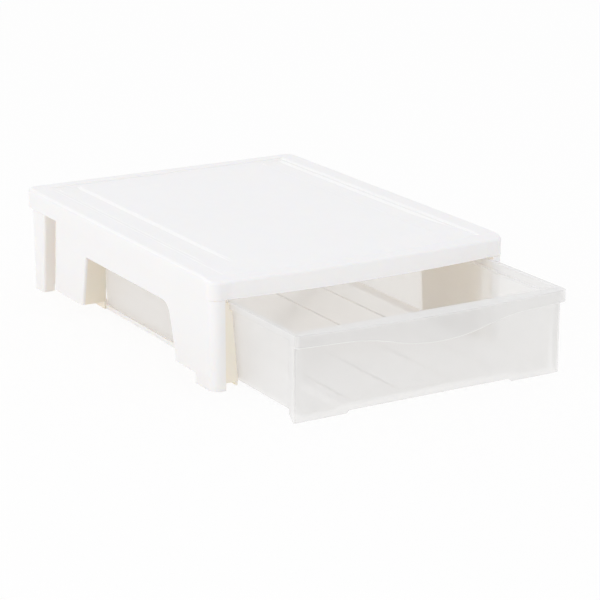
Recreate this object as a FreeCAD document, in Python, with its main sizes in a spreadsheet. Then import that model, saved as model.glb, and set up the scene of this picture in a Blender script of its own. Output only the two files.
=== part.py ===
"""Underbed storage unit: a white moulded frame with one clear drawer.

The model is in millimetres, +Z up. X is the width, and the drawer slides out towards -Y.
The origin is on the floor, under the middle of the unit with its drawer partly pulled out.
In the frame's own numbers, which the sheet holds, y is 0 at the frame's front corners.
In the drawer's own numbers y is 0 at the outer face of its front wall.
"""

import FreeCAD, Part
import math
import os

import Sketcher

DIMENSIONS = {
    # the lid, which is the top panel with its rim
    "lid_width": 420.0,
    "lid_depth": 541.0,
    "lid_top": 138.0,
    "rim_bottom": 112.0,
    "rim_wall": 2.8,
    "deck_thick": 3.6,
    "lid_corner": 15.0,
    "lid_edge": 4.5,
    "rail_half": 182.0,
    "rail_bow": 10.8,
    "rail_lean": 5.0,
    "rail_back": 20.5,
    "brow_half": 211.0,
    "brow_start": 22.2,
    "brow_bow": 18.2,
    "brow_low": 134.4,
    "brow_foot": 2.0,
    "brow_foot_bow": 7.8,
    "border_side": 180.5,
    "border_front": 20.4,
    "border_bow": 13.4,
    "border_rear": 520.0,
    "border_step": 1.4,
    "border_lip_drop": 0.45,
    "border_lip_side": 1.5,
    "border_lip_end": 1.0,
    "border_head_side": 4.0,
    "border_head_end": 2.2,
    "channel_outer": 180.5,
    "channel_inner": 141.0,
    "channel_deep": 2.0,
    "channel_lip": 4.0,
    "channel_steep": 9.0,
    "channel_outer_slope": 17.5,
    "channel_inner_slope": 5.0,
    "channel_fade": 66.0,
    "channel_front": 150.0,
    "channel_rear": 512.0,
    "channel_end": 14.0,
    "channel_floor": 2.2,
    "lid_rib_half": 0.9,
    "lid_rib_drop": 5.4,
    "lid_rib_pitch": 60.0,
    "lid_rib_front": 6.0,
    "lid_rib_rear": 514.0,
    # the side panels
    "side_face": 208.0,
    "side_wall": 2.8,
    "side_top": 111.4,
    "side_bottom": 13.0,
    "side_rear": 457.0,
    "side_rear_lean": 10.0,
    "side_rear_corner": 4.0,
    "foot_rear": 44.0,
    "post_inner": 190.5,
    "post_wall": 2.6,
    "post_corner": 12.0,
    "post_inner_corner": 9.2,
    "arch_front": 97.2,
    "arch_step_low": 27.0,
    "arch_step_high": 34.0,
    "arch_step": 6.3,
    "arch_lean": 13.2,
    "arch_top": 81.3,
    "arch_front_corner": 20.0,
    "arch_rear_top": 353.2,
    "arch_rear": 368.0,
    "arch_rear_corner": 6.0,
    "arch_edge": 3.0,
    "reveal_deep": 8.5,
    "reveal_wall": 2.2,
    "tongue_face": 206.6,
    "tongue_wall": 2.2,
    "tongue_front": 30.0,
    "tongue_rear": 430.0,
    # the inner walls that guide the drawer
    "flange_front": 3.0,
    "flange_wall": 2.4,
    "flange_bottom": 8.2,
    "flange_top": 97.2,
    "flange_step": 183.4,
    "flange_head": 107.4,
    "flange_head_inner": 187.9,
    "guide_face": 172.8,
    "guide_flare": 7.2,
    "guide_wall": 2.2,
    "guide_front_end": 147.0,
    "guide_front_lean": 18.0,
    "guide_rear_start": 354.0,
    # the bottom runners
    "runner_inner": 160.0,
    "runner_bottom": 3.2,
    "runner_top": 8.8,
    "runner_wall": 2.2,
    "runner_front": 32.0,
    # the rear panel
    "rear_face": 523.0,
    "rear_wall": 2.6,
    "rear_half": 209.5,
    "rear_foot_inner": 165.0,
    "rear_post_front": 490.0,
    "rear_post_lean": 10.0,
    "rear_post_corner": 4.0,
    "rear_post_inner": 193.0,
    "rear_corner": 10.0,
    "rear_inner_corner": 7.4,
    "rear_tongue_half": 196.0,
    # the drawer
    "face_closed": -9.3,
    "pulled_out": 141.6,
    "tub_wall": 2.4,
    "tub_bottom": 9.1,
    "tub_half": 171.3,
    "tub_rear": 524.3,
    "tub_flare": 7.5,
    "tub_rear_flare": 1.5,
    "tub_corner": 9.0,
    "lip_top": 110.8,
    "lip_half": 187.0,
    "lip_reach": 9.8,
    "lip_bow": 10.5,
    "lip_wall": 2.4,
    "lip_corner": 6.0,
    "lip_overlap": 0.6,
    "lip_wrap": 4.0,
    "lip_edge": 1.0,
    "lip_end_bottom": 95.2,
    "lip_middle_bottom": 78.3,
    "lip_wave_half": 130.0,
    "lip_ledge": 5.0,
    "rim_band_half": 182.4,
    "rim_band_bottom": 98.2,
    "rim_rear": 528.8,
    "face_half": 185.0,
    "face_bottom": 7.5,
    "face_return": 12.0,
    "face_corner": 3.0,
    "foot_bottom": 4.0,
    "foot_inner": 111.5,
    "foot_slope": 5.0,
    "return_slope": 9.0,
    "floor_half": 121.0,
    "floor_step": 7.0,
    "floor_rise": 4.4,
    "floor_rib_inner": 36.0,
    "floor_rib_outer": 104.0,
    "floor_rib_half": 0.9,
    "floor_rib_high": 0.8,
    "floor_rib_margin": 12.0,
}

CUT_REACH = 60.0


class Size:
    """A length or a place: its number, and the formula that gives it from the sheet."""

    def __init__(self, value, formula):
        self.value = value
        self.formula = formula

    def __add__(self, other):
        other = as_size(other)
        return Size(self.value + other.value, f"({self.formula} + {other.formula})")

    def __sub__(self, other):
        other = as_size(other)
        return Size(self.value - other.value, f"({self.formula} - {other.formula})")

    def __mul__(self, other):
        other = as_size(other)
        return Size(self.value * other.value, f"({self.formula} * {other.formula})")

    def __truediv__(self, other):
        other = as_size(other)
        return Size(self.value / other.value, f"({self.formula} / {other.formula})")

    def __radd__(self, other):
        return as_size(other) + self

    def __rsub__(self, other):
        return as_size(other) - self

    def __rmul__(self, other):
        return as_size(other) * self

    def __neg__(self):
        return self * -1


def as_size(number):
    return number if isinstance(number, Size) else Size(float(number), repr(float(number)))


def fill_sheet(doc):
    """Writes the driving dimensions to a sheet and returns them by name."""
    sheet = doc.addObject("Spreadsheet::Sheet", "Dimensions")
    sizes = {}
    for row, (alias, value) in enumerate(DIMENSIONS.items(), start=1):
        sheet.set(f"A{row}", alias)
        sheet.set(f"B{row}", repr(value))
        sheet.setAlias(f"B{row}", alias)
        sizes[alias] = Size(value, f"Dimensions.{alias}")
    doc.recompute()
    return sizes


def bind(thing, path, size):
    """Sets a property, such as Length or Placement.Base.x, from the sheet."""
    thing.setExpression(path, as_size(size).formula)


def origin_plane(body, role):
    return next(f for f in body.Origin.OriginFeatures if f.Role == role)


def add_sketch(body, name, role, offset, corners, arcs=None):
    """Adds a closed outline on one of the body's planes, moved along the plane's normal.

    Its corners are pairs of sizes. An edge in arcs, counted from the edge that starts at
    corner 0, is an arc with the radius given, and bulges to the side that its sign says.
    """
    arcs = arcs or {}
    sketch = body.newObject("Sketcher::SketchObject", name)
    sketch.AttachmentSupport = [(origin_plane(body, role), "")]
    sketch.MapMode = "FlatFace"
    bind(sketch, "AttachmentOffset.Base.z", offset)
    corners = [(as_size(u), as_size(v)) for u, v in corners]
    places = [FreeCAD.Vector(u.value, v.value, 0) for u, v in corners]
    count = len(places)
    starts = []
    for edge in range(count):
        start = places[edge]
        end = places[(edge + 1) % count]
        if edge in arcs:
            radius, side = arcs[edge]
            geometry, forwards = arc_between(start, end, as_size(radius).value, side)
            sketch.addGeometry(geometry)
            starts.append(1 if forwards else 2)
        else:
            sketch.addGeometry(Part.LineSegment(start, end))
            starts.append(1)
    for edge in range(count):
        following = (edge + 1) % count
        sketch.addConstraint(
            Sketcher.Constraint("Coincident", edge, 3 - starts[edge], following, starts[following])
        )
    for edge, (u, v) in enumerate(corners):
        for kind, size in (("DistanceX", u), ("DistanceY", v)):
            index = sketch.addConstraint(
                Sketcher.Constraint(kind, -1, 1, edge, starts[edge], size.value)
            )
            sketch.setExpression(f"Constraints[{index}]", size.formula)
    for edge, (radius, _) in arcs.items():
        radius = as_size(radius)
        index = sketch.addConstraint(Sketcher.Constraint("Radius", edge, radius.value))
        sketch.setExpression(f"Constraints[{index}]", radius.formula)
    return sketch


def arc_between(start, end, radius, side):
    """Returns the shorter arc between two points, and whether it runs from start to end.

    With side 1 it bulges to the right of the way from start to end, with side -1 to the left.
    """
    chord = end - start
    half = chord.Length / 2
    across = FreeCAD.Vector(chord.y, -chord.x, 0).normalize() * side
    middle = (start + end) * 0.5
    centre = middle - across * math.sqrt(radius * radius - half * half)
    angles = [math.atan2(p.y - centre.y, p.x - centre.x) for p in (start, end)]
    forwards = side > 0
    if not forwards:
        angles.reverse()
    circle = Part.Circle(centre, FreeCAD.Vector(0, 0, 1), radius)
    if angles[1] < angles[0]:
        angles[1] += 2 * math.pi
    return Part.ArcOfCircle(circle, angles[0], angles[1]), forwards


def add_pad(body, name, role, offset, length, corners, arcs=None):
    """Adds material: the outline from its offset onwards, along the plane's normal."""
    sketch = add_sketch(body, name + "Outline", role, offset, corners, arcs)
    pad = body.newObject("PartDesign::Pad", name)
    pad.Profile = sketch
    bind(pad, "Length", length)
    return pad


def add_pocket(body, name, role, offset, length, corners, arcs=None, onwards=True):
    """Takes material away, from the outline's offset onwards or backwards along the normal."""
    sketch = add_sketch(body, name + "Outline", role, offset, corners, arcs)
    pocket = body.newObject("PartDesign::Pocket", name)
    pocket.Profile = sketch
    pocket.Reversed = onwards
    bind(pocket, "Length", length)
    return pocket


def add_loft(body, name, kind, sketches):
    loft = body.newObject(f"PartDesign::{kind}", name)
    loft.Profile = sketches[0]
    loft.Sections = sketches[1:]
    loft.Ruled = True
    return loft


def round_edges(body, name, radius, chosen):
    """Rounds the edges of the body's shape so far that chosen says yes to."""
    body.Document.recompute()
    base = body.Tip
    names = [f"Edge{i}" for i, edge in enumerate(base.Shape.Edges, start=1) if chosen(edge)]
    if not names:
        raise RuntimeError(f"{body.Label}: {name} found no edge")
    fillet = body.newObject("PartDesign::Fillet", name)
    fillet.Base = (base, names)
    bind(fillet, "Radius", radius)
    return fillet


def runs_up(edge, x, y, slack=0.5):
    """True for an edge that runs mostly along Z near a place in plan."""
    box = edge.BoundBox
    tall = box.ZLength > max(box.XLength, box.YLength, 1.0)
    return tall and abs(box.Center.x - x) < slack and abs(box.Center.y - y) < slack


def lies_at(edge, z, slack=0.01):
    """True for an edge that lies flat at a height."""
    return abs(edge.BoundBox.ZMin - z) < slack and abs(edge.BoundBox.ZMax - z) < slack


def new_body(doc, label, y_place):
    body = doc.addObject("PartDesign::Body", label)
    body.Label = label
    bind(body, "Placement.Base.y", y_place)
    return body


def rectangle(u_low, u_high, v_low, v_high):
    return [(u_low, v_low), (u_high, v_low), (u_high, v_high), (u_low, v_high)]


def bow_radius(half, rise):
    """Radius of the arc over a chord of twice half that rises by rise."""
    value = (half.value**2 + rise.value**2) / (2 * rise.value)
    formula = f"(({half.formula})^2 + ({rise.formula})^2) / (2 * {rise.formula})"
    return Size(value, formula)


def make_lid(doc, d, frame_y):
    """The top panel: a flat deck with a rim, a bowed front rail and two stacking channels."""
    body = new_body(doc, "top_panel", frame_y)
    wall = d["rim_wall"]
    rim_high = d["lid_top"] - d["rim_bottom"]
    outline = lid_outline(d, as_size(0))
    add_pad(body, "LidBlock", "XY_Plane", d["rim_bottom"], rim_high, *outline)
    back = d["rail_back"]
    add_rail_loft(body, d, "Rail", "AdditiveLoft", as_size(0), back, d["lid_top"])
    add_brow(body, d)
    round_edges(body, "LidEdge", d["lid_edge"], lambda e: runs_round_lid(e, d))

    ceiling = d["brow_low"] - d["deck_thick"]
    inner = lid_outline(d, wall)
    add_pocket(
        body, "LidHollow", "XY_Plane", d["rim_bottom"], ceiling - d["rim_bottom"], *inner
    )
    add_rail_loft(body, d, "RailHollow", "SubtractiveLoft", wall, wall + 1, ceiling)
    corners, arcs = lid_outline(d, wall)
    deep = [(u, back if v.value < back.value else v) for u, v in corners[2:8]]
    under_deck = d["lid_top"] - d["deck_thick"]
    rear_arcs = {edge - 2: arc for edge, arc in arcs.items() if edge in (3, 5)}
    add_pocket(body, "DeckHollow", "XY_Plane", ceiling - 1, under_deck - ceiling + 1, deep, rear_arcs)

    add_border_step(body, d)
    add_channels(body, d)
    add_lid_ribs(body, d)
    return body


def lid_outline(d, inset):
    """The lid's outline in plan without its bow, moved inwards by inset, and the arcs in it."""
    half = d["lid_width"] / 2 - inset
    rear = d["lid_depth"] - inset
    corner = d["lid_corner"] - inset
    corners = [
        (-half + corner, inset),
        (half - corner, inset),
        (half, inset + corner),
        (half, rear - corner),
        (half - corner, rear),
        (-half + corner, rear),
        (-half, rear - corner),
        (-half, inset + corner),
    ]
    return corners, {edge: (corner, 1) for edge in (1, 3, 5, 7)}


def add_rail_loft(body, d, name, kind, inset, back, top):
    """The bowed front rail from the rim's bottom up to top; it bows less the higher it gets."""
    half = d["rail_half"] - inset
    share = (top - d["rim_bottom"]) / (d["lid_top"] - d["rim_bottom"])
    bows = (d["rail_bow"], d["rail_bow"] - d["rail_lean"] * share)
    sections = []
    for end, height, bow in zip(("Foot", "Head"), (d["rim_bottom"], top), bows):
        corners = [(-half, inset), (half, inset), (half, back), (-half, back)]
        arc = {0: (bow_radius(half, bow), 1)}
        sections.append(add_sketch(body, name + end, "XY_Plane", height, corners, arc))
    add_loft(body, name, kind, sections)


def add_brow(body, d):
    """Slopes the deck's front border down to the rail's upper edge."""
    half = d["brow_half"]
    head = (d["lid_top"], d["brow_start"], d["brow_bow"])
    edge = (d["brow_low"], d["brow_foot"], d["brow_foot_bow"])
    beyond = [high - (high - low) * 1.5 for high, low in zip(head, edge)]
    sections = []
    for name, (height, front, bow) in (("BrowHead", head), ("BrowFoot", beyond)):
        corners = rectangle(-half, half, -CUT_REACH, front)
        arc = {2: (bow_radius(half, bow), -1)}
        sections.append(add_sketch(body, name, "XY_Plane", height, corners, arc))
    add_loft(body, "Brow", "SubtractiveLoft", sections)


def runs_round_lid(edge, d):
    """True for an edge of the lid's upper outline, but not for the brow's own upper edge."""
    box = edge.BoundBox
    crease = lies_at(edge, d["lid_top"].value) and box.YMax < d["brow_start"].value + 1
    return box.ZMin > d["brow_low"].value - 2 and not crease


def add_border_step(body, d):
    """Lowers the deck inside its border, over an edge that bends down softly."""
    top = d["lid_top"]
    drop = d["border_lip_drop"]
    lip = (d["border_lip_side"], d["border_lip_end"])
    above = (d["border_head_side"] * 2 - lip[0], d["border_head_end"] * 2 - lip[1])
    levels = (
        ("Above", top + drop, *above),
        ("Lip", top - drop, *lip),
        ("Foot", top - d["border_step"], as_size(0), as_size(0)),
    )
    sections = []
    for name, height, side, end in levels:
        half = d["border_side"] + side
        corners = rectangle(-half, half, d["border_front"] - end, d["border_rear"] + end)
        arc = {0: (bow_radius(half, d["border_bow"]), 1)}
        sections.append(add_sketch(body, "Border" + name, "XY_Plane", height, corners, arc))
    add_loft(body, "BorderStep", "SubtractiveLoft", sections)


def add_channels(body, d):
    """Two shallow channels along the deck that fade out at both ends."""
    deck = d["lid_top"] - d["border_step"]
    above = d["lid_top"] + 1
    under = d["lid_top"] - d["deck_thick"]
    for side, name in ((-1, "Left"), (1, "Right")):
        floor = mirrored(
            side,
            rectangle(
                d["channel_inner"] - d["channel_floor"],
                d["channel_outer"] + d["channel_floor"],
                d["channel_fade"] - d["channel_floor"],
                d["channel_rear"] + d["channel_floor"],
            ),
        )
        thick = d["channel_floor"] + d["deck_thick"] / 4
        add_pad(
            body, name + "ChannelFloor", "XY_Plane", under - d["channel_floor"], thick, floor
        )
        full = channel_section(d, side, deck, above, d["channel_deep"])
        faded = channel_section(d, side, deck, above, d["channel_deep"] / 10)
        full_rear = d["channel_rear"] - d["channel_end"]
        length = full_rear - d["channel_front"]
        add_pocket(
            body, name + "Channel", "XZ_Plane", -d["channel_front"], length, full, onwards=False
        )
        for end, shallow, deep in (
            ("Fade", d["channel_fade"], d["channel_front"]),
            ("End", d["channel_rear"], full_rear),
        ):
            sections = [
                add_sketch(body, name + end + "Shallow", "XZ_Plane", -shallow, faded),
                add_sketch(body, name + end + "Deep", "XZ_Plane", -deep, full),
            ]
            add_loft(body, name + end, "SubtractiveLoft", sections)


def channel_section(d, side, deck, above, deep):
    outer = d["channel_outer"]
    inner = d["channel_inner"]
    return [
        (side * outer, above),
        (side * outer, deck),
        (side * (outer - d["channel_lip"]), deck - deep * 0.15),
        (side * (outer - d["channel_steep"]), deck - deep * 0.85),
        (side * (outer - d["channel_outer_slope"]), deck - deep),
        (side * (inner + d["channel_inner_slope"]), deck - deep),
        (side * inner, deck),
        (side * inner, above),
    ]


def add_lid_ribs(body, d):
    """Stiffening ribs under the deck."""
    under = d["lid_top"] - d["deck_thick"]
    top = under + d["deck_thick"] / 2
    rib = d["lid_rib_half"]
    front = d["lid_rib_front"]
    length = d["lid_rib_rear"] - front
    for step in (-2, -1, 0, 1, 2):
        x = d["lid_rib_pitch"] * step
        section = rectangle(x - rib, x + rib, under - d["lid_rib_drop"], top)
        pad = add_pad(body, f"LidRib{step + 3}", "XZ_Plane", -front, length, section)
        pad.Reversed = True


def make_side_panel(doc, d, frame_y, side, label):
    """A side panel: outer wall with an arch, front post, inner guide walls and a top tongue."""
    body = new_body(doc, label, frame_y)
    wall = d["side_wall"]
    face = d["side_face"] * side
    outer_start = face if side < 0 else face - wall

    def across(near, deep):
        """Start and length along +X of a layer that begins at near and goes inwards."""
        near = near * side
        return (near, deep) if side < 0 else (near - deep, deep)

    skin = [
        (0, 0),
        (d["foot_rear"], 0),
        (d["foot_rear"], d["side_bottom"]),
        (d["side_rear"], d["side_bottom"]),
        (d["side_rear"] - d["side_rear_lean"], d["side_top"]),
        (0, d["side_top"]),
    ]
    add_pad(body, "Skin", "YZ_Plane", outer_start, wall, skin)
    start, deep = across(d["side_face"] - wall, d["reveal_deep"] - wall)
    add_pad(body, "Reveal", "YZ_Plane", start, deep, arch_outline(d, d["reveal_wall"]))
    low = d["side_bottom"]
    reveal = d["reveal_wall"]
    arch_end = [
        (d["arch_rear"], low),
        (d["arch_rear"] + reveal, low),
        (d["arch_rear_top"] + reveal, d["arch_top"] + reveal),
        (d["arch_rear_top"], d["arch_top"] + reveal),
    ]
    start, deep = across(d["side_face"] - wall, d["side_face"] - wall - d["guide_face"])
    add_pad(body, "ArchEnd", "YZ_Plane", start, deep, arch_end)
    room = mirrored(
        side,
        [
            (d["runner_inner"], low - 1),
            (guide_x(d, low - 1), low - 1),
            (guide_x(d, d["flange_top"]), d["flange_top"]),
            (d["runner_inner"], d["flange_top"]),
        ],
    )
    add_pocket(
        body,
        "DrawerRoom",
        "XZ_Plane",
        -d["arch_rear_top"] + 5,
        d["arch_rear"] - d["arch_rear_top"] + 10,
        room,
        onwards=False,
    )

    rear = d["side_rear"]
    rear_top = rear - d["side_rear_lean"]
    turned_edge = [
        (rear - reveal, low),
        (rear, low),
        (rear_top, d["side_top"]),
        (rear_top - reveal, d["side_top"]),
    ]
    start, deep = across(d["side_face"] - wall / 2, d["reveal_deep"] - wall / 2)
    add_pad(body, "RearReturn", "YZ_Plane", start, deep, turned_edge)

    def along_rear(edge):
        inside = edge.BoundBox.YMin > rear_top.value - 1 and edge.BoundBox.ZLength > CUT_REACH
        return inside and lies_on(edge, face.value) and edge.BoundBox.YMax > rear.value - 0.5

    round_edges(body, "RearCorner", d["side_rear_corner"], along_rear)

    add_post(body, d, side)
    add_guides(body, d, side)

    start, deep = across(d["side_face"] + 1, d["reveal_deep"] + 2)
    add_pocket(body, "Arch", "YZ_Plane", start, deep, arch_outline(d, as_size(0)))
    arch_z = d["arch_top"].value
    for y, radius, name in (
        (d["arch_front"] + d["arch_step"] + d["arch_lean"], d["arch_front_corner"], "ArchFront"),
        (d["arch_rear_top"], d["arch_rear_corner"], "ArchRear"),
    ):
        round_edges(body, name, radius, lambda e, y=y: crosses_at(e, y.value, arch_z))
    arch_start = (d["arch_front"] + d["arch_step"]).value

    def along_arch(edge):
        box = edge.BoundBox
        inside = box.YMin > arch_start - 0.1 and box.YMax < d["arch_rear"].value + 0.1
        high = d["arch_step_high"].value + 1 < box.ZMax < arch_z + 1
        return inside and high and lies_on(edge, face.value)

    round_edges(body, "ArchEdge", d["arch_edge"], along_arch)

    start, deep = across(d["tongue_face"], d["tongue_wall"])
    under_deck = d["lid_top"] - d["deck_thick"]
    tongue = rectangle(d["tongue_front"], d["tongue_rear"], d["side_top"] - 4, under_deck)
    add_pad(body, "Tongue", "YZ_Plane", start, deep, tongue)
    return body


def lies_on(edge, x, slack=0.01):
    """True for an edge in the plane across X at x."""
    return abs(edge.BoundBox.XMin - x) < slack and abs(edge.BoundBox.XMax - x) < slack


def crosses_at(edge, y, z, slack=0.05):
    """True for an edge that runs along X at a place in the side view."""
    box = edge.BoundBox
    flat = box.YLength < slack and box.ZLength < slack
    return flat and abs(box.Center.y - y) < slack and abs(box.Center.z - z) < slack


def arch_outline(d, grow):
    """The arch in the side view, open at the bottom, made larger all round by grow."""
    low = d["side_bottom"] - (0 if grow.value else 1)
    front = d["arch_front"] - grow
    step_top = front + d["arch_step"]
    return [
        (front, low),
        (d["arch_rear"] + grow, low),
        (d["arch_rear_top"] + grow, d["arch_top"] + grow),
        (step_top + d["arch_lean"], d["arch_top"] + grow),
        (step_top, d["arch_step_high"]),
        (front, d["arch_step_low"]),
    ]


def add_post(body, d, side):
    """The front post, which goes down to the floor, and the flange beside the drawer."""
    inner = d["post_inner"]
    wall = d["post_wall"]
    flange_back = d["flange_front"] + d["flange_wall"]
    front = mirrored(side, rectangle(inner, d["side_face"] - wall, 0, wall))
    add_pad(body, "PostFront", "XY_Plane", 0, d["side_top"], front)
    jog = mirrored(side, rectangle(inner, inner + wall, wall / 2, flange_back))
    add_pad(body, "PostJog", "XY_Plane", 0, d["side_top"], jog)
    inside = side * (d["side_face"].value - d["side_wall"].value)
    outside = side * d["side_face"].value
    inner_y = d["post_wall"].value
    round_edges(body, "PostInside", d["post_inner_corner"], lambda e: runs_up(e, inside, inner_y))
    round_edges(body, "PostCorner", d["post_corner"], lambda e: runs_up(e, outside, 0.0))

    flange = mirrored(
        side,
        [
            (guide_x(d, d["flange_bottom"]), d["flange_bottom"]),
            (inner + wall / 2, d["flange_bottom"]),
            (inner + wall / 2, d["side_top"]),
            (d["flange_head_inner"], d["side_top"]),
            (d["flange_head_inner"], d["flange_head"]),
            (d["flange_step"], d["flange_head"]),
            (d["flange_step"], d["flange_top"]),
            (guide_x(d, d["flange_top"]), d["flange_top"]),
        ],
    )
    pad = add_pad(body, "Flange", "XZ_Plane", -d["flange_front"], d["flange_wall"], flange)
    pad.Reversed = True


def guide_x(d, z):
    """Inner face of the guide walls at a height: it flares as the drawer's walls do."""
    span = d["flange_top"] - d["runner_top"]
    return d["guide_face"] + d["guide_flare"] * (z - d["runner_top"]) / span


def mirrored(side, corners):
    return [(side * as_size(u), v) for u, v in corners]


def add_guides(body, d, side):
    """Inner walls before and behind the arch, between which the drawer slides."""
    wall = d["guide_wall"]
    low = d["runner_bottom"]
    high = d["flange_top"]
    section = mirrored(
        side,
        [
            (d["guide_face"], low),
            (d["guide_face"] + wall, low),
            (d["guide_face"] + wall, d["runner_top"]),
            (guide_x(d, high) + wall, high),
            (guide_x(d, high), high),
            (d["guide_face"], d["runner_top"]),
        ],
    )
    front = d["flange_front"] + d["flange_wall"] / 2
    spans = (
        ("FrontGuide", front, d["guide_front_end"]),
        ("RearGuide", d["guide_rear_start"], d["rear_face"] - d["rear_wall"]),
    )
    for name, start, end in spans:
        pad = add_pad(body, name, "XZ_Plane", -start, end - start, section)
        pad.Reversed = True
    rear = d["guide_front_end"]
    lean = [
        (rear - d["guide_front_lean"], low),
        (rear - d["guide_front_lean"], low - 1),
        (rear + 1, low - 1),
        (rear + 1, high),
        (rear, high),
    ]
    inner = d["guide_face"] - 1
    deep = d["guide_flare"] + wall + 2
    start = side * inner if side > 0 else side * (inner + deep)
    add_pocket(body, "GuideLean", "YZ_Plane", start, deep, lean)
    ahead = d["guide_rear_start"] - 5
    arch_end = [
        (ahead, low - 1),
        (d["arch_rear"], low - 1),
        (d["arch_rear"], d["side_bottom"]),
        (d["arch_rear_top"], d["arch_top"]),
        (ahead, d["arch_top"]),
    ]
    add_pocket(body, "GuideStart", "YZ_Plane", start, deep, arch_end)


def make_rear_panel(doc, d, frame_y):
    """The rear panel with its two corner posts."""
    body = new_body(doc, "rear_panel", frame_y)
    half = d["rear_half"]
    wall = d["rear_wall"]
    foot = d["rear_foot_inner"]
    outline = [
        (-half, 0),
        (-foot, 0),
        (-foot, d["side_bottom"]),
        (foot, d["side_bottom"]),
        (foot, 0),
        (half, 0),
        (half, d["side_top"]),
        (-half, d["side_top"]),
    ]
    pad = add_pad(body, "RearWall", "XZ_Plane", -(d["rear_face"] - wall), wall, outline)
    pad.Reversed = True
    front = d["rear_post_front"]
    front_top = front - d["rear_post_lean"]
    high = d["side_top"]
    back = d["rear_face"] - wall / 2
    flank = [(front, 0), (back, 0), (back, high), (front_top, high)]
    turned = [(front, 0), (front + wall, 0), (front_top + wall, high), (front_top, high)]
    for side, name in ((-1, "Left"), (1, "Right")):
        outer = half * side
        start = outer if side < 0 else outer - wall
        add_pad(body, name + "PostSide", "YZ_Plane", start, wall, flank)
        inner = d["rear_post_inner"]
        deep = half - wall / 2 - inner
        start = side * inner if side > 0 else side * (inner + deep)
        add_pad(body, name + "PostReturn", "YZ_Plane", start, deep, turned)

        def along_front(edge):
            box = edge.BoundBox
            ahead = box.YMin > front_top.value - 1 and box.YMax < front.value + 1
            return ahead and box.ZLength > CUT_REACH and lies_on(edge, outer.value)

        round_edges(body, name + "PostFront", d["rear_post_corner"], along_front)
        inside = (side * (half - wall).value, (d["rear_face"] - wall).value)
        outside = (outer.value, d["rear_face"].value)
        round_edges(
            body, name + "PostInside", d["rear_inner_corner"], lambda e: runs_up(e, *inside)
        )
        round_edges(body, name + "PostCorner", d["rear_corner"], lambda e: runs_up(e, *outside))
    tongue_half = d["rear_tongue_half"]
    under_deck = d["lid_top"] - d["deck_thick"]
    tongue = rectangle(-tongue_half, tongue_half, d["side_top"] - 4, under_deck)
    pad = add_pad(body, "Tongue", "XZ_Plane", -(d["rear_face"] - wall), wall, tongue)
    pad.Reversed = True
    return body


def make_runner(doc, d, frame_y, side, label):
    """A bottom runner: an angle bar that the drawer's floor slides on."""
    body = new_body(doc, label, frame_y)
    wall = d["runner_wall"]
    section = mirrored(
        side,
        [
            (d["runner_inner"], d["runner_top"] - wall),
            (d["guide_face"] - wall, d["runner_top"] - wall),
            (d["guide_face"] - wall, d["runner_bottom"]),
            (d["guide_face"], d["runner_bottom"]),
            (d["guide_face"], d["runner_top"]),
            (d["runner_inner"], d["runner_top"]),
        ],
    )
    length = d["rear_face"] - d["rear_wall"] - d["runner_front"]
    pad = add_pad(body, "Bar", "XZ_Plane", -d["runner_front"], length, section)
    pad.Reversed = True
    return body


def make_drawer(doc, d, drawer_y):
    """The clear drawer: one moulding with a rim, a wavy pull at the front and two feet."""
    body = new_body(doc, "drawer_tub", drawer_y)
    add_pull(body, d)
    add_face(body, d)
    add_tub(body, d)
    add_floor(body, d)
    half = d["lip_half"].value
    front = -d["lip_reach"].value
    rear = d["rim_rear"].value

    def around_rim(edge):
        box = edge.BoundBox
        sides = box.XMax > half - 1 or box.XMin < 1 - half
        ends = box.YMin < front + 1 or box.YMax > rear - 1
        return lies_at(edge, d["lip_top"].value) and (sides or ends)

    round_edges(body, "RimEdge", d["lip_edge"], around_rim)
    return body


def add_pull(body, d):
    """The overhanging pull: a top ledge and a skirt with a wavy lower edge."""
    half = d["lip_half"]
    wall = d["lip_wall"]
    reach = d["lip_reach"]
    low = d["lip_middle_bottom"]
    base = low - 2
    corner = d["lip_corner"]
    wrap = d["lip_wrap"]
    outline = pull_outline(half, -reach, wrap, corner, d["lip_bow"])
    add_pad(body, "Pull", "XY_Plane", base, d["lip_top"] - base, *outline)
    inner_half = half - wall - d["lip_overlap"]
    inner = pull_outline(inner_half, -reach + wall, wrap + 1, corner - wall, d["lip_bow"])
    add_pocket(body, "PullHollow", "XY_Plane", base, d["lip_top"] - wall - base, *inner)

    end = d["lip_end_bottom"]
    wave = d["lip_wave_half"]
    mid_height = (end + low) / 2
    wave_arc = bow_radius(wave / 2, (end - low) / 2)
    outside = half + 5
    under = low - 5
    points = [
        (-outside, end),
        (-wave, end),
        (-wave / 2, mid_height),
        (0, low),
        (wave / 2, mid_height),
        (wave, end),
        (outside, end),
        (outside, under),
        (-outside, under),
    ]
    arcs = {
        1: (wave_arc, -1),
        2: (wave_arc, 1),
        3: (wave_arc, 1),
        4: (wave_arc, -1),
    }
    add_pocket(body, "PullWave", "XZ_Plane", -wrap - 1, reach + CUT_REACH, points, arcs)


def pull_outline(half, front, rear, corner, bow):
    """The pull in plan: a bowed front between two rounded corners, and the arcs in it."""
    straight = half - corner
    corners = [
        (-straight, front),
        (straight, front),
        (half, front + corner),
        (half, rear),
        (-half, rear),
        (-half, front + corner),
    ]
    arcs = {0: (bow_radius(straight, bow), 1), 1: (corner, 1), 5: (corner, 1)}
    return corners, arcs


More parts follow.
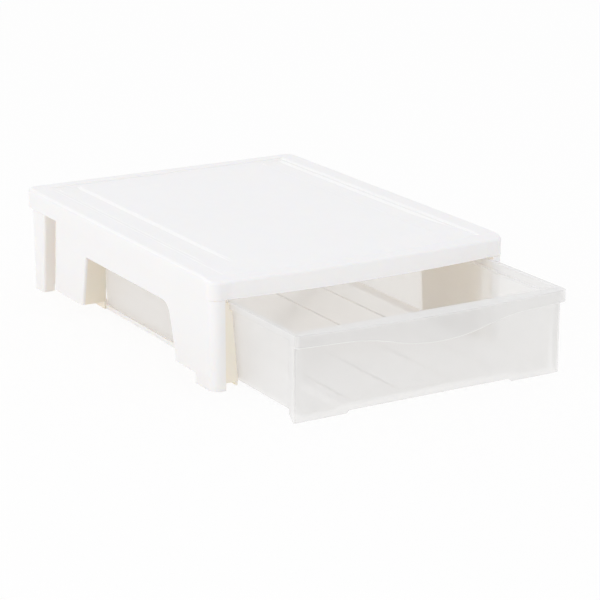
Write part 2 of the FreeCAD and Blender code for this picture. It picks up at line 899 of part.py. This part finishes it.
def add_face(body, d):
    """The front wall with its two side returns, and the feet at its lower corners."""
    half = d["face_half"]
    wall = d["tub_wall"]
    back = d["face_return"]
    low = d["foot_bottom"]
    high = d["lip_top"] - d["lip_wall"] / 2
    corner = d["face_corner"]
    section = [
        (-half + corner, 0),
        (half - corner, 0),
        (half, corner),
        (half, back),
        (half - wall, back),
        (half - wall, wall),
        (-half + wall, wall),
        (-half + wall, back),
        (-half, back),
        (-half, corner),
    ]
    rounded = {1: (corner, 1), 9: (corner, 1)}
    add_pad(body, "Face", "XY_Plane", low, high - low, section, rounded)
    inner = d["foot_inner"]
    gap = [
        (-inner - d["foot_slope"], low - 1),
        (inner + d["foot_slope"], low - 1),
        (inner, d["face_bottom"]),
        (-inner, d["face_bottom"]),
    ]
    add_pocket(body, "FootGap", "XZ_Plane", 1, back + 2, gap, onwards=False)
    slope = d["return_slope"]
    corner_cut = [(back - slope, low), (back + 1, low), (back + 1, low + slope + 1)]
    add_pocket(body, "ReturnSlope", "YZ_Plane", -half - 1, half * 2 + 2, corner_cut)


def tub_outline(half, rear, front, corner):
    """A box outline with its two rear corners rounded."""
    return [
        (-half, front),
        (half, front),
        (half, rear - corner),
        (half - corner, rear),
        (-half + corner, rear),
        (-half, rear - corner),
    ]


def add_tub(body, d):
    """The drawer's walls, which flare a little upwards, and the rim round their top."""
    wall = d["tub_wall"]
    low = d["tub_bottom"]
    high = d["lip_top"] - d["lip_wall"]
    corner = d["tub_corner"]
    top_half = d["tub_half"] + d["tub_flare"]
    top_rear = d["tub_rear"] + d["tub_rear_flare"]
    rounded = {2: (corner, 1), 4: (corner, 1)}
    outer = [
        add_sketch(
            body,
            "TubFoot",
            "XY_Plane",
            low,
            tub_outline(d["tub_half"], d["tub_rear"], 0.5, corner),
            rounded,
        ),
        add_sketch(
            body, "TubHead", "XY_Plane", high, tub_outline(top_half, top_rear, 0.5, corner), rounded
        ),
    ]
    add_loft(body, "Tub", "AdditiveLoft", outer)
    band = d["rim_band_half"]
    band_low = d["rim_band_bottom"]
    band_outline = tub_outline(band, top_rear, 0.5, corner)
    add_pad(body, "RimBand", "XY_Plane", band_low, high - band_low, band_outline, rounded)
    rim_half = d["lip_half"]
    add_pad(
        body,
        "Rim",
        "XY_Plane",
        high,
        d["lip_wall"],
        tub_outline(rim_half, d["rim_rear"], -0.5, corner),
        rounded,
    )
    cavity_corner = corner - wall
    hollow_rounded = {2: (cavity_corner, 1), 4: (cavity_corner, 1)}
    hollow = [
        add_sketch(
            body,
            "HollowFoot",
            "XY_Plane",
            low + wall,
            tub_outline(d["tub_half"] - wall, d["tub_rear"] - wall, wall, cavity_corner),
            hollow_rounded,
        ),
        add_sketch(
            body,
            "HollowHead",
            "XY_Plane",
            high,
            tub_outline(top_half - wall, top_rear - wall, wall, cavity_corner),
            hollow_rounded,
        ),
    ]
    add_loft(body, "Hollow", "SubtractiveLoft", hollow)
    mouth = tub_outline(band - wall, top_rear - wall, d["lip_ledge"], cavity_corner)
    step = band_low + wall
    mouth_high = d["lip_top"] + 1 - step
    add_pocket(body, "Mouth", "XY_Plane", step, mouth_high, mouth, hollow_rounded)


def add_floor(body, d):
    """The raised middle of the floor, and the ribs that run along it."""
    wall = d["tub_wall"]
    low = d["tub_bottom"]
    rear = d["tub_rear"] - wall
    top = low + wall + d["floor_rise"]
    raised = floor_section(d, as_size(0), low + wall / 2, top)
    pad = add_pad(body, "FloorRise", "XZ_Plane", -wall / 2, rear, raised)
    pad.Reversed = True
    under = floor_section(d, wall, low - 1, top - wall)
    add_pocket(body, "FloorUnder", "XZ_Plane", -wall, rear - wall * 2, under, onwards=False)
    margin = d["floor_rib_margin"]
    for number, x in enumerate(
        (-d["floor_rib_outer"], -d["floor_rib_inner"], d["floor_rib_inner"], d["floor_rib_outer"]),
        start=1,
    ):
        rib = d["floor_rib_half"]
        strip = rectangle(x - rib, x + rib, margin, rear - margin)
        high = d["floor_rib_high"] + wall / 2
        add_pad(body, f"FloorRib{number}", "XY_Plane", top - wall / 2, high, strip)


def floor_section(d, inset, bottom, top):
    """The raised middle of the floor across the drawer, made narrower by inset on each side."""
    high_half = d["floor_half"] - inset
    slope = d["floor_step"] / d["floor_rise"]
    low_half = high_half + (top - bottom) * slope
    return [(-low_half, bottom), (low_half, bottom), (high_half, top), (-high_half, top)]


def check(doc):
    """Stops on any object that failed to compute or has no sound shape."""
    for thing in doc.Objects:
        if "Invalid" in thing.State or "Error" in thing.State:
            raise RuntimeError(f"{thing.Label} failed: {thing.State}")


def main():
    doc = FreeCAD.newDocument("UnderbedDrawer")
    d = fill_sheet(doc)
    lip_front = d["face_closed"] - d["pulled_out"] - d["lip_reach"] - d["lip_bow"]
    middle = (d["lid_depth"] + lip_front) / 2
    frame_y = -middle
    drawer_y = d["face_closed"] - d["pulled_out"] - middle
    pieces = [
        make_lid(doc, d, frame_y),
        make_side_panel(doc, d, frame_y, -1, "left_side_panel"),
        make_side_panel(doc, d, frame_y, 1, "right_side_panel"),
        make_rear_panel(doc, d, frame_y),
        make_runner(doc, d, frame_y, -1, "left_runner"),
        make_runner(doc, d, frame_y, 1, "right_runner"),
        make_drawer(doc, d, drawer_y),
    ]
    doc.recompute()
    check(doc)
    for piece in pieces:
        if piece.Shape.isNull() or not piece.Shape.isValid() or len(piece.Shape.Solids) != 1:
            raise RuntimeError(f"{piece.Label} isn't one sound solid")
    os.makedirs("parts", exist_ok=True)
    for piece in pieces:
        piece.Shape.exportStep(f"parts/{piece.Label}.step")
        box = piece.Shape.BoundBox
        print(
            f"{piece.Label}: {piece.Shape.Volume / 1000:.1f} cm3, "
            f"x {box.XMin:.1f}..{box.XMax:.1f}, y {box.YMin:.1f}..{box.YMax:.1f}, "
            f"z {box.ZMin:.1f}..{box.ZMax:.1f}"
        )


main()
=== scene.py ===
import math

import bpy
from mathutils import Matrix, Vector

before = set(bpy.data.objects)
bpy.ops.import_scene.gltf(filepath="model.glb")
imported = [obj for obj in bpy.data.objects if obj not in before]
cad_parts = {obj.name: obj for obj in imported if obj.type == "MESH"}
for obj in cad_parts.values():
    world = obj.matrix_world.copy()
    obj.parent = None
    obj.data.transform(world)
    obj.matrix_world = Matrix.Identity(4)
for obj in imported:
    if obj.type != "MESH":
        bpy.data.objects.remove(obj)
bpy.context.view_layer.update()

LID = "top_panel"
WHITE_NODES = ("rear_panel", "left_runner", "right_runner")
SIDE_NODES = ("left_side_panel", "right_side_panel")
TUB = "drawer_tub"

# The camera that the photograph was taken with, in the row frame
CAMERA_PLACE = (-1.3495, -2.3492, 0.8425)
AZIMUTH = math.radians(-30.21)
ELEVATION = math.radians(16.57)
FOCAL_PIXELS = 2185.97
PHOTO_PIXELS = 600
SENSOR_MM = 36.0

# The share of light that each face of a white wall lets through, and the tint it gets there
PASSED_PER_FACE = 0.86
PASSED_TINT = (1.0, 0.965, 0.92, 1)
# The share of its opacity that clear plastic keeps for light that falls on other things
LIT_OPACITY = 0.05
CLEAR_TINT = (0.985, 0.982, 0.975, 1)
# How much of the clear plastic's milk lets light through to its other side
MILK_SHARE = 0.4

# A warm shade is painted on these inner walls, for the light that reaches them through the thin
# white plastic
# The side panels' inner walls: how far from the middle they reach, beside the post and behind it
INNER_BESIDE_POST = 0.1907
INNER_BEHIND_POST = 0.2035
POST_BACK = -0.1815
# Behind this the inner walls get no painted warm shade and are as white as the outside
WARM_SHADE_BACK = 0.25
# The painted warm shade: the tone the inner walls take in shade from light through the thin plastic
WARM_SHADE_TINT = (1.0, 0.95, 0.84, 1)

# The lid's slopes that get a painted highlight lie above this height, and lean by more than the
# least and less than the most
SLOPE_BOTTOM = 0.134
SLOPE_LEAST = math.radians(8)
SLOPE_MOST = math.radians(60)

# Edges are rounded where the surface turns by more than this
EDGE_TURN = math.radians(40)
EDGE_SEGMENTS = 2
WHITE_EDGE_WIDTH = 0.0005
CLEAR_EDGE_WIDTH = 0.0008
WELD_DISTANCE = 0.00002
LARGE_FACE_WEIGHT = 80

# The floor reaches this far each way and lies this much under the feet
FLOOR_REACH = 30.0
FLOOR_DROP = 0.0004
# How much of the floor's whiteness is its own, as the camera sees it
FLOOR_GLOW = 0.9

ROOM_LIGHT = (0.982, 0.98, 1.0, 1)
ROOM_STRENGTH = 0.95

# Each lamp's name, place, aim, size, power and colour
LAMPS = (
    ("top", (0.2, 0.3, 2.6), (0, 0, 0.1), (2.6, 2.6), 1.2, (0.98, 0.98, 1.0)),
    ("left", (-2.6, -0.2, 1.0), (0, 0, 0.05), (1.8, 1.6), 11.0, (1.0, 1.0, 1.0)),
    ("front", (-0.6, -3.0, 1.0), (0, 0, 0.05), (1.8, 1.4), 4.5, (1.0, 1.0, 1.0)),
)


class Nodes:
    """Adds nodes to a material or world and links them with few words."""

    def __init__(self, owner):
        owner.use_nodes = True
        self.tree = owner.node_tree
        self.tree.nodes.clear()

    def add(self, kind, **settings):
        node = self.tree.nodes.new("ShaderNode" + kind)
        inputs = settings.pop("inputs", {})
        for name, value in settings.items():
            setattr(node, name, value)
        for name, value in inputs.items():
            self.feed(node.inputs[name], value)
        return node

    def feed(self, socket, value):
        if isinstance(value, bpy.types.NodeSocket):
            self.tree.links.new(value, socket)
        else:
            socket.default_value = value


def noise(nodes, coords, scale, detail, roughness):
    return nodes.add("TexNoise", inputs={
        "Vector": coords, "Scale": scale, "Detail": detail, "Roughness": roughness}).outputs["Fac"]


def grain(nodes, coords, scale, low, high):
    """Noise stretched to run from low to high."""
    ramp = nodes.add("MapRange", inputs={
        "Value": noise(nodes, coords, scale, 4.0, 0.6), "From Min": 0.3, "From Max": 0.7,
        "To Min": low, "To Max": high})
    return ramp.outputs["Result"]


def blend(nodes, share, first, second, **settings):
    """A colour between the first and the second."""
    mix = nodes.add("MixRGB", inputs={"Fac": share, "Color1": first, "Color2": second}, **settings)
    return mix.outputs["Color"]


def calculate(nodes, operation, first, second):
    return nodes.add("Math", operation=operation, inputs={0: first, 1: second}).outputs[0]


def mix_shaders(nodes, share, first, second):
    mix = nodes.add("MixShader", inputs={0: share, 1: first, 2: second})
    return mix.outputs["Shader"]


def lights_others(nodes):
    """1 for rays that carry light to other surfaces or into shadows, else 0."""
    path = nodes.add("LightPath")
    return calculate(nodes, "MAXIMUM", path.outputs["Is Shadow Ray"],
                     path.outputs["Is Diffuse Ray"])


def seen_directly(nodes):
    """1 for rays from the camera, through clear plastic and from a glossy reflection, else 0."""
    path = nodes.add("LightPath")
    straight = calculate(nodes, "MAXIMUM", path.outputs["Is Camera Ray"],
                         path.outputs["Is Transmission Ray"])
    return calculate(nodes, "MAXIMUM", straight, path.outputs["Is Glossy Ray"])


def inner_walls(nodes, coords):
    """Where the painted warm shade goes: 1 on a side panel's inner walls, 0 on its outer wall, its
    front post and rear return.
    """
    place = nodes.add("SeparateXYZ", inputs={"Vector": coords})
    sideways = nodes.add("Math", operation="ABSOLUTE", inputs={0: place.outputs["X"]}).outputs[0]
    beside = calculate(nodes, "LESS_THAN", sideways, INNER_BESIDE_POST)
    inside = calculate(nodes, "LESS_THAN", sideways, INNER_BEHIND_POST)
    behind = calculate(nodes, "GREATER_THAN", place.outputs["Y"], POST_BACK)
    walls = calculate(nodes, "MAXIMUM", beside, calculate(nodes, "MULTIPLY", inside, behind))
    before_return = calculate(nodes, "LESS_THAN", place.outputs["Y"], WARM_SHADE_BACK)
    return calculate(nodes, "MULTIPLY", walls, before_return)


def white_plastic(name, dull=0.857, pale=0.875, painted_warm_shade=False, shine=0.0):
    """Satin white polypropylene: fine moulded grain, flow clouds from dull to pale, rubbed patches.

    The walls are thin, so part of the light on them goes through and comes out a little warm.
    The side panels' inner walls can get a painted warm shade, the tone that light through the thin
    walls gives them in shade. With shine, it mirrors more: a painted highlight, as on the lid's
    slopes.
    """
    material = bpy.data.materials.new(name)
    nodes = Nodes(material)
    coords = nodes.add("TexCoord").outputs["Object"]
    colour = blend(nodes, noise(nodes, coords, 7.0, 3.0, 0.5),
                   (dull + 0.001, dull, dull - 0.001, 1), (pale + 0.001, pale, pale - 0.001, 1))
    if painted_warm_shade:
        # Painted warm shade: the side panels' inner walls are tinted warm where they lie in shade
        colour = blend(nodes, inner_walls(nodes, coords), colour, WARM_SHADE_TINT, blend_type="MULTIPLY")
    bump = nodes.add("Bump", inputs={
        "Strength": 0.12, "Distance": 0.0004, "Height": noise(nodes, coords, 2400.0, 2.0, 0.5)})
    sink = nodes.add("Bump", inputs={
        "Strength": 0.1, "Distance": 0.002, "Height": noise(nodes, coords, 26.0, 2.0, 0.4),
        "Normal": bump.outputs["Normal"]})
    shader = nodes.add("BsdfPrincipled", inputs={
        "Base Color": colour, "Roughness": grain(nodes, coords, 60.0, 0.34, 0.46), "IOR": 1.49,
        "Metallic": shine, "Normal": sink.outputs["Normal"], "Subsurface Weight": 0.25,
        "Subsurface Radius": (1.0, 0.8, 0.55), "Subsurface Scale": 0.003})
    passed = calculate(nodes, "MULTIPLY", lights_others(nodes), PASSED_PER_FACE)
    glow = nodes.add("BsdfTransparent", inputs={"Color": PASSED_TINT})
    surface = mix_shaders(nodes, passed, shader.outputs["BSDF"], glow.outputs["BSDF"])
    nodes.add("OutputMaterial", inputs={"Surface": surface})
    return material


def clear_plastic(name, thin, thick, shine=0.0):
    """Clear, slightly milky polypropylene, as opaque as thin straight on, as thick at a slant.

    With shine, it mirrors more: a painted highlight on the edges, for the light that runs in them
    and comes out.
    """
    material = bpy.data.materials.new(name)
    nodes = Nodes(material)
    coords = nodes.add("TexCoord").outputs["Object"]
    colour = blend(nodes, noise(nodes, coords, 9.0, 3.0, 0.5),
                   (0.93, 0.932, 0.937, 1), (0.95, 0.952, 0.957, 1))
    bump = nodes.add("Bump", inputs={
        "Strength": 0.04, "Distance": 0.002, "Height": noise(nodes, coords, 22.0, 2.0, 0.4)})
    slant = nodes.add("LayerWeight", inputs={"Blend": 0.35, "Normal": bump.outputs["Normal"]})
    opacity = nodes.add("MapRange", inputs={
        "Value": slant.outputs["Facing"], "To Min": thin, "To Max": thick})
    lit = nodes.add("MapRange", inputs={
        "Value": lights_others(nodes), "To Min": 1.0, "To Max": LIT_OPACITY})
    solid = calculate(nodes, "MULTIPLY", opacity.outputs["Result"], lit.outputs["Result"])
    shader = nodes.add("BsdfPrincipled", inputs={
        "Base Color": colour, "Roughness": grain(nodes, coords, 40.0, 0.12, 0.2), "IOR": 1.46,
        "Metallic": shine, "Normal": bump.outputs["Normal"]})
    through = nodes.add("BsdfTranslucent", inputs={"Color": colour})
    milk = mix_shaders(nodes, MILK_SHARE, shader.outputs["BSDF"], through.outputs["BSDF"])
    clear = nodes.add("BsdfTransparent", inputs={"Color": CLEAR_TINT})
    surface = mix_shaders(nodes, solid, clear.outputs["BSDF"], milk)
    nodes.add("OutputMaterial", inputs={"Surface": surface})
    return material


def dress(node, *materials):
    node.data.materials.clear()
    for material in materials:
        node.data.materials.append(material)


def soften(node, width, clamp=True, edge_material=-1):
    """Rounds the node's edges a little. With -1, they keep the material of their faces."""
    weld = node.modifiers.new("weld", "WELD")
    weld.merge_threshold = WELD_DISTANCE
    bevel = node.modifiers.new("bevel", "BEVEL")
    bevel.width = width
    bevel.segments = EDGE_SEGMENTS
    bevel.limit_method = "ANGLE"
    bevel.angle_limit = EDGE_TURN
    bevel.use_clamp_overlap = clamp
    bevel.material = edge_material
    bevel.harden_normals = False
    flat = node.modifiers.new("flat", "WEIGHTED_NORMAL")
    flat.weight = LARGE_FACE_WEIGHT
    flat.keep_sharp = True


def paint_slope_highlights(node):
    """Gives the painted highlight to the sideways slopes of the lid's border step and channels."""
    for face in node.data.polygons:
        gentle = math.cos(SLOPE_MOST) < face.normal.z < math.cos(SLOPE_LEAST)
        sideways = abs(face.normal.x) > abs(face.normal.y)
        if face.center.z > SLOPE_BOTTOM and gentle and sideways:
            face.material_index = 1


def add_camera():
    back = Vector((math.sin(AZIMUTH) * math.cos(ELEVATION),
                   -math.cos(AZIMUTH) * math.cos(ELEVATION), math.sin(ELEVATION)))
    data = bpy.data.cameras.new("camera")
    data.sensor_width = SENSOR_MM
    data.lens = FOCAL_PIXELS * SENSOR_MM / PHOTO_PIXELS
    camera = bpy.data.objects.new("camera", data)
    camera.location = CAMERA_PLACE
    camera.rotation_mode = "QUATERNION"
    camera.rotation_quaternion = (-back).to_track_quat("-Z", "Y")
    bpy.context.scene.collection.objects.link(camera)
    bpy.context.scene.camera = camera


def add_softbox(name, place, aim, size, power, colour):
    data = bpy.data.lights.new(name, "AREA")
    data.shape = "RECTANGLE"
    data.size, data.size_y = size
    data.energy = power
    data.color = colour
    lamp = bpy.data.objects.new(name, data)
    lamp.location = place
    lamp.rotation_mode = "QUATERNION"
    lamp.rotation_quaternion = (Vector(aim) - Vector(place)).to_track_quat("-Z", "Y")
    bpy.context.scene.collection.objects.link(lamp)


def add_floor():
    """A pale floor that the camera sees as white."""
    mesh = bpy.data.meshes.new("floor")
    corners = [(x * FLOOR_REACH, y * FLOOR_REACH, 0)
               for x, y in ((-1, -1), (1, -1), (1, 1), (-1, 1))]
    mesh.from_pydata(corners, [], [(0, 1, 2, 3)])
    floor = bpy.data.objects.new("floor", mesh)
    floor.location.z = -FLOOR_DROP
    bpy.context.scene.collection.objects.link(floor)
    material = bpy.data.materials.new("floor")
    nodes = Nodes(material)
    coords = nodes.add("TexCoord").outputs["Object"]
    tone = blend(nodes, noise(nodes, coords, 3.0, 2.0, 0.5),
                 (0.88, 0.875, 0.86, 1), (0.9, 0.895, 0.88, 1))
    shader = nodes.add("BsdfPrincipled", inputs={"Base Color": tone, "Roughness": 0.9})
    glow = nodes.add("Emission", inputs={"Color": (1, 1, 1, 1), "Strength": 1.0})
    share = calculate(nodes, "MULTIPLY", seen_directly(nodes), FLOOR_GLOW)
    surface = mix_shaders(nodes, share, shader.outputs["BSDF"], glow.outputs["Emission"])
    nodes.add("OutputMaterial", inputs={"Surface": surface})
    mesh.materials.append(material)


def add_world():
    """Plain soft light all round, and a white backdrop."""
    world = bpy.data.worlds.new("studio")
    bpy.context.scene.world = world
    nodes = Nodes(world)
    soft = nodes.add("Background", inputs={"Color": ROOM_LIGHT, "Strength": ROOM_STRENGTH})
    backdrop = nodes.add("Background", inputs={"Color": (1, 1, 1, 1), "Strength": 1.0})
    surface = mix_shaders(nodes, seen_directly(nodes), soft.outputs[0], backdrop.outputs[0])
    nodes.add("OutputWorld", inputs={"Surface": surface})


white = white_plastic("frame_white")
# A brighter, mirroring white that paints a highlight on the lid's sideways slopes
white_edge = white_plastic("frame_white_edge", dull=0.92, pale=0.94, shine=0.7)
# The side panels, with a painted warm shade on their inner walls
white_side = white_plastic("frame_white_side", painted_warm_shade=True)
clear = clear_plastic("drawer_clear", 0.3, 0.75)
# Denser, mirroring milk that paints a highlight on the tub's rounded edges
clear_edge = clear_plastic("drawer_clear_edge", 0.9, 0.95, shine=0.8)
for name in WHITE_NODES:
    dress(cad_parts[name], white)
    soften(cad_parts[name], WHITE_EDGE_WIDTH)
for name in SIDE_NODES:
    dress(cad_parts[name], white_side)
    soften(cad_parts[name], WHITE_EDGE_WIDTH)
dress(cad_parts[LID], white, white_edge)
# The lid's sideways slopes get the painted highlight material
paint_slope_highlights(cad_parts[LID])
soften(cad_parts[LID], WHITE_EDGE_WIDTH)
dress(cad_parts[TUB], clear, clear_edge)
# The tub's rounded edges get the second material, with its painted highlight
soften(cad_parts[TUB], CLEAR_EDGE_WIDTH, clamp=False, edge_material=1)

add_camera()
add_floor()
add_world()
for lamp in LAMPS:
    add_softbox(*lamp)

bpy.context.scene.view_settings.view_transform = "Standard"
